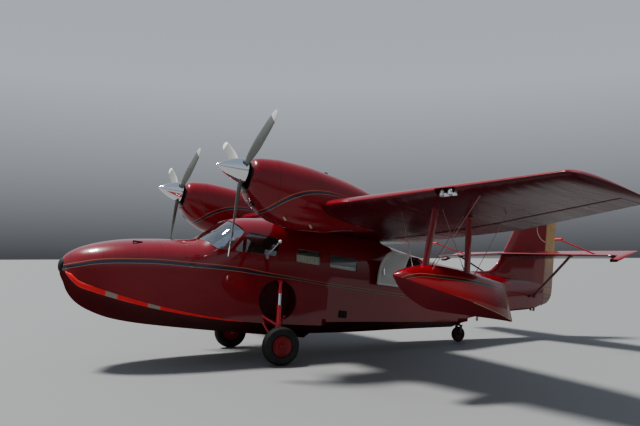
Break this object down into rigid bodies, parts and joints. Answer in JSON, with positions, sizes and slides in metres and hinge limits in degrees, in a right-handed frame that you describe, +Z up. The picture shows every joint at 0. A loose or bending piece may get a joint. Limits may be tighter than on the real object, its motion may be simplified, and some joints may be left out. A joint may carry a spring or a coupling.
{
  "type": "amphibious flying boat",
  "caption": "High-wing amphibious flying boat with a stepped hull, engine nacelles on the wing, underwing floats, wheels and an open cabin door.",
  "frame": {"origin": "on the ground under the middle of the bounding box", "axes": "+X to port, -Y towards the bow, +Z up; the hull leans back on its tail wheel"},
  "size_m": [12.19, 9.7196, 3.457],
  "materials": {
    "red_paint": "deep red gloss paint over light alloy",
    "dark_red_paint": "dark red paint, satin and worn",
    "gold_paint": "muted gold gloss paint",
    "polished_metal": "polished",
    "blade_paint": "satin grey with pale tips",
    "engine_metal": "matt dark grey",
    "tyre_rubber": "matt black",
    "bumper_rubber": "satin black",
    "clear_glass": "clear with a faint grey tint",
    "seat_fabric": "woven beige upholstery",
    "panel_black": "matt black"
  },
  "bodies": {
    "airframe": {"bow_hull": "red_paint", "planing_bottom": "red_paint", "side_wall_port": "red_paint", "side_wall_starboard": "red_paint", "cabin_roof": "red_paint", "windscreen_frame": "red_paint", "windscreen_glass_port": "clear_glass", "windscreen_glass_starboard": "clear_glass", "stern_hull": "red_paint", "wing_centre": "red_paint", "wing_panel_port": "red_paint", "wing_panel_starboard": "red_paint", "landing_lamps": "polished_metal", "nacelle_port": "red_paint", "nacelle_starboard": "red_paint", "engine_block_port": "engine_metal", "engine_block_starboard": "engine_metal", "tailplane": "red_paint", "fin": "red_paint", "tailplane_strut_port": "dark_red_paint", "tailplane_strut_starboard": "dark_red_paint", "wing_float_port": "red_paint", "wing_float_starboard": "red_paint", "float_strut_front_port": "red_paint", "float_strut_front_starboard": "red_paint", "float_strut_rear_port": "red_paint", "float_strut_rear_starboard": "red_paint", "wheel_well_port": "dark_red_paint", "wheel_well_starboard": "dark_red_paint", "main_gear_leg_port": "red_paint", "main_gear_leg_starboard": "red_paint", "tail_leg": "dark_red_paint", "cabin_glass_port": "clear_glass", "cabin_glass_starboard": "clear_glass", "cockpit_glass_port": "clear_glass", "cockpit_glass_starboard": "clear_glass", "bow_bumper": "bumper_rubber", "pilot_seat": "seat_fabric", "copilot_seat": "seat_fabric", "rear_bench": "seat_fabric", "instrument_panel": "panel_black"},
    "propeller_port": {"propeller_port": "blade_paint", "spinner_port": "polished_metal"},
    "propeller_starboard": {"propeller_starboard": "blade_paint", "spinner_starboard": "polished_metal"},
    "main_wheel_port": {"port_main_tyre": "tyre_rubber", "port_main_hub": "dark_red_paint"},
    "main_wheel_starboard": {"starboard_main_tyre": "tyre_rubber", "starboard_main_hub": "dark_red_paint"},
    "tail_castor": {"tail_fork": "dark_red_paint"},
    "tail_wheel": {"tail_tyre": "tyre_rubber", "tail_hub": "dark_red_paint"},
    "cabin_door": {"cabin_door": "red_paint"},
    "aileron_port": {"aileron_port": "red_paint"},
    "aileron_starboard": {"aileron_starboard": "red_paint"},
    "flap_port": {"flap_port": "red_paint"},
    "flap_starboard": {"flap_starboard": "red_paint"},
    "elevator": {"elevator_port": "red_paint", "elevator_starboard": "red_paint"},
    "rudder": {"rudder": "gold_paint"}
  },
  "joints": [
    {"name": "propeller_port_spin", "type": "hinge", "parent": "airframe", "child": "propeller_port", "pos_m": [1.7, -2.66474, 2.78811], "axis": [0, 0.9848, -0.1736], "continuous": true},
    {"name": "propeller_starboard_spin", "type": "hinge", "parent": "airframe", "child": "propeller_starboard", "pos_m": [-1.7, -2.66474, 2.78811], "axis": [0, 0.9848, -0.1736], "continuous": true},
    {"name": "main_wheel_port_roll", "type": "hinge", "parent": "airframe", "child": "main_wheel_port", "pos_m": [1.15, -1.84868, 0.28519], "axis": [1, 0, 0], "continuous": true},
    {"name": "main_wheel_starboard_roll", "type": "hinge", "parent": "airframe", "child": "main_wheel_starboard", "pos_m": [-1.15, -1.84868, 0.28519], "axis": [1, 0, 0], "continuous": true},
    {"name": "tail_castor_swivel", "type": "hinge", "parent": "airframe", "child": "tail_castor", "pos_m": [0, 2.2463, 0.14131], "axis": [0, 0.1219, 0.9925], "continuous": true},
    {"name": "tail_wheel_roll", "type": "hinge", "parent": "tail_castor", "child": "tail_wheel", "pos_m": [0, 2.26417, 0.13912], "axis": [1, 0, 0], "continuous": true},
    {"name": "cabin_door_hinge", "type": "hinge", "parent": "airframe", "child": "cabin_door", "pos_m": [0.704, 0.57367, 1.26409], "axis": [0, 0.1219, 0.9925], "range_deg": [0, 176]},
    {"name": "aileron_port_hinge", "type": "hinge", "parent": "airframe", "child": "aileron_port", "pos_m": [3.856, -0.05059, 2.0609], "axis": [0.9928, -0.1012, 0.0633], "range_deg": [-20, 20]},
    {"name": "aileron_starboard_hinge", "type": "hinge", "parent": "airframe", "child": "aileron_starboard", "pos_m": [-3.856, -0.05059, 2.0609], "axis": [0.9928, 0.1012, -0.0633], "range_deg": [-20, 20]},
    {"name": "flap_port_hinge", "type": "hinge", "parent": "airframe", "child": "flap_port", "pos_m": [1.245, 0.13872, 1.96462], "axis": [-0.9968, 0.0716, -0.0364], "range_deg": [0, 40]},
    {"name": "flap_starboard_hinge", "type": "hinge", "parent": "airframe", "child": "flap_starboard", "pos_m": [-1.245, 0.13872, 1.96462], "axis": [-0.9968, -0.0716, 0.0364], "range_deg": [0, 40]},
    {"name": "elevator_hinge", "type": "hinge", "parent": "airframe", "child": "elevator", "pos_m": [0, 3.8723, 1.58448], "axis": [1, 0, 0], "range_deg": [-46, 4]},
    {"name": "rudder_hinge", "type": "hinge", "parent": "airframe", "child": "rudder", "pos_m": [0, 4.48254, 1.59015], "axis": [0, 0.1219, 0.9925], "range_deg": [-25, 25]}
  ],
  "couplings": [
    {"joint": "aileron_starboard_hinge", "follows": "aileron_port_hinge", "ratio": -1},
    {"joint": "flap_starboard_hinge", "follows": "flap_port_hinge", "ratio": 1}
  ]
}
